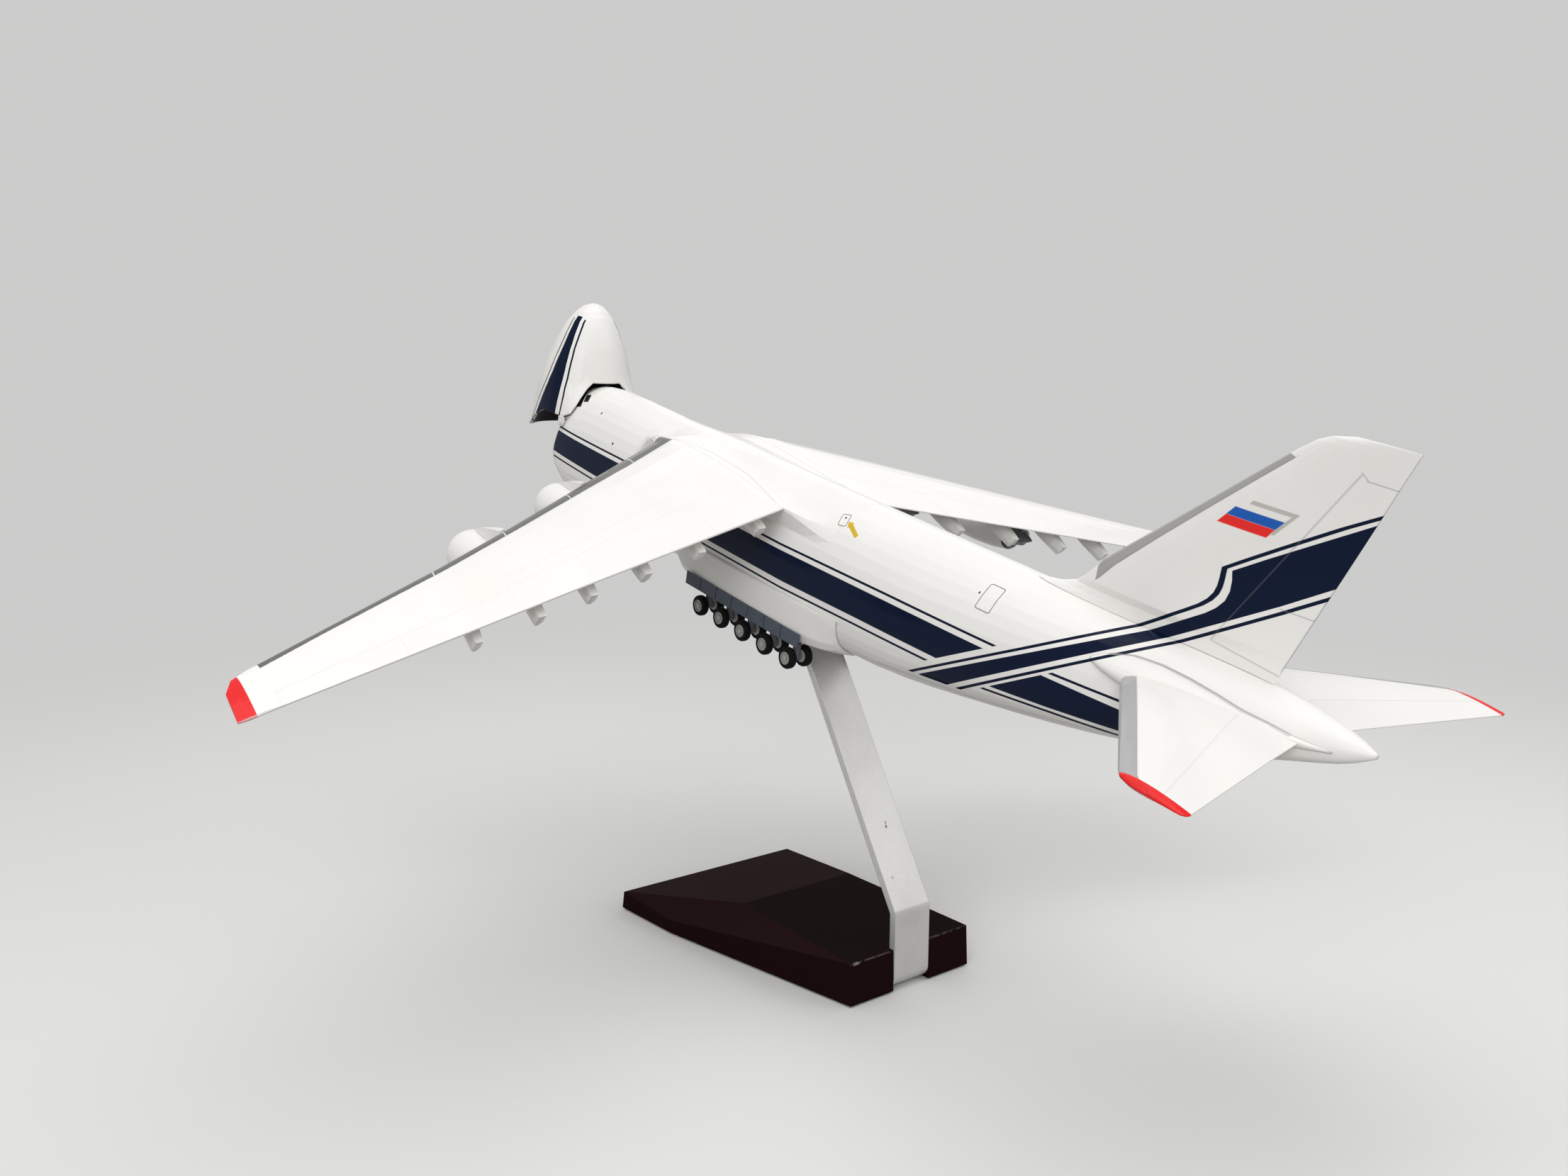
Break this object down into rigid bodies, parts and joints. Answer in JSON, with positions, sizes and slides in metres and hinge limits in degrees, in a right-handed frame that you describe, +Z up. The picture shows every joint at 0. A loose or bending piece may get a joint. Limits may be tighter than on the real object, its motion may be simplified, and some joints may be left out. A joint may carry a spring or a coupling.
{
  "type": "model airplane",
  "caption": "Desk display model of a high-winged jet freighter with a hinged nose visor, turning wheels and a bent arm on a wedge base.",
  "frame": {"origin": "centre of the base's underside, on the table", "axes": "+X to the aeroplane's port side, +Y to its tail, +Z up"},
  "size_m": [0.4886, 0.4476, 0.268],
  "materials": {
    "gloss_white": "gloss",
    "silver_paint": "satin",
    "burgundy": "gloss",
    "felt": "matte",
    "steel": "satin",
    "grey_inside": "matte",
    "grey_blue": "satin",
    "gear_metal": "satin",
    "fan_metal": "satin",
    "tyre_black": "matte"
  },
  "bodies": {
    "stand": {"base": "burgundy", "base_felt": "felt", "stand_arm": "silver_paint", "foot_screws": "steel"},
    "airframe": {"fuselage": "gloss_white", "cockpit": "gloss_white", "cargo_floor": "grey_inside", "belly_socket": "grey_inside", "wing_fairing": "gloss_white", "wing_left": "gloss_white", "wing_right": "gloss_white", "pylons": "gloss_white", "nacelle_1": "gloss_white", "nacelle_2": "gloss_white", "nacelle_3": "gloss_white", "nacelle_4": "gloss_white", "engine_fans": "fan_metal", "exhaust_cones": "fan_metal", "flap_fairings_left": "gloss_white", "flap_fairings_right": "gloss_white", "fin": "gloss_white", "tailplane_left": "gloss_white", "tailplane_right": "gloss_white", "tail_fairings": "gloss_white", "gear_sponsons": "gloss_white", "gear_doors_left": "grey_blue", "gear_doors_right": "grey_blue", "main_legs_left": "gear_metal", "main_legs_right": "gear_metal", "nose_legs": "gear_metal", "nose_gear_doors": "gloss_white", "hinge_pins": "gloss_white"},
    "visor": {"visor_shell": "gloss_white", "visor_arms": "gloss_white"},
    "main_wheels_l1": {"main_axle_l1": "gear_metal", "main_tyres_l1": "tyre_black"},
    "main_wheels_r1": {"main_axle_r1": "gear_metal", "main_tyres_r1": "tyre_black"},
    "main_wheels_l2": {"main_axle_l2": "gear_metal", "main_tyres_l2": "tyre_black"},
    "main_wheels_r2": {"main_axle_r2": "gear_metal", "main_tyres_r2": "tyre_black"},
    "main_wheels_l3": {"main_axle_l3": "gear_metal", "main_tyres_l3": "tyre_black"},
    "main_wheels_r3": {"main_axle_r3": "gear_metal", "main_tyres_r3": "tyre_black"},
    "main_wheels_l4": {"main_axle_l4": "gear_metal", "main_tyres_l4": "tyre_black"},
    "main_wheels_r4": {"main_axle_r4": "gear_metal", "main_tyres_r4": "tyre_black"},
    "main_wheels_l5": {"main_axle_l5": "gear_metal", "main_tyres_l5": "tyre_black"},
    "main_wheels_r5": {"main_axle_r5": "gear_metal", "main_tyres_r5": "tyre_black"},
    "nose_wheels_left": {"nose_axle_left": "gear_metal", "nose_tyres_left": "tyre_black"},
    "nose_wheels_right": {"nose_axle_right": "gear_metal", "nose_tyres_right": "tyre_black"}
  },
  "joints": [
    {"name": "lift_off_arm", "type": "slide", "parent": "stand", "child": "airframe", "axis": [0, -0.5075, 0.8616], "range_m": [0, 0.04]},
    {"name": "visor_hinge", "type": "hinge", "parent": "airframe", "child": "visor", "pos_m": [0, -0.15863, 0.2106], "axis": [1, 0, 0], "range_deg": [0, 90]},
    {"name": "main_wheels_l1_turn", "type": "hinge", "parent": "airframe", "child": "main_wheels_l1", "pos_m": [0.0213, -0.03732, 0.13751], "axis": [1, 0, 0], "continuous": true},
    {"name": "main_wheels_r1_turn", "type": "hinge", "parent": "airframe", "child": "main_wheels_r1", "pos_m": [-0.0213, -0.03732, 0.13751], "axis": [1, 0, 0], "continuous": true},
    {"name": "main_wheels_l2_turn", "type": "hinge", "parent": "airframe", "child": "main_wheels_l2", "pos_m": [0.0213, -0.0228, 0.13429], "axis": [1, 0, 0], "continuous": true},
    {"name": "main_wheels_r2_turn", "type": "hinge", "parent": "airframe", "child": "main_wheels_r2", "pos_m": [-0.0213, -0.0228, 0.13429], "axis": [1, 0, 0], "continuous": true},
    {"name": "main_wheels_l3_turn", "type": "hinge", "parent": "airframe", "child": "main_wheels_l3", "pos_m": [0.0213, -0.00828, 0.13108], "axis": [1, 0, 0], "continuous": true},
    {"name": "main_wheels_r3_turn", "type": "hinge", "parent": "airframe", "child": "main_wheels_r3", "pos_m": [-0.0213, -0.00828, 0.13108], "axis": [1, 0, 0], "continuous": true},
    {"name": "main_wheels_l4_turn", "type": "hinge", "parent": "airframe", "child": "main_wheels_l4", "pos_m": [0.0213, 0.00623, 0.12786], "axis": [1, 0, 0], "continuous": true},
    {"name": "main_wheels_r4_turn", "type": "hinge", "parent": "airframe", "child": "main_wheels_r4", "pos_m": [-0.0213, 0.00623, 0.12786], "axis": [1, 0, 0], "continuous": true},
    {"name": "main_wheels_l5_turn", "type": "hinge", "parent": "airframe", "child": "main_wheels_l5", "pos_m": [0.0213, 0.02075, 0.12464], "axis": [1, 0, 0], "continuous": true},
    {"name": "main_wheels_r5_turn", "type": "hinge", "parent": "airframe", "child": "main_wheels_r5", "pos_m": [-0.0213, 0.02075, 0.12464], "axis": [1, 0, 0], "continuous": true},
    {"name": "nose_wheels_left_turn", "type": "hinge", "parent": "airframe", "child": "nose_wheels_left", "pos_m": [0.009, -0.14912, 0.16343], "axis": [1, 0, 0], "continuous": true},
    {"name": "nose_wheels_right_turn", "type": "hinge", "parent": "airframe", "child": "nose_wheels_right", "pos_m": [-0.009, -0.14912, 0.16343], "axis": [1, 0, 0], "continuous": true}
  ]
}
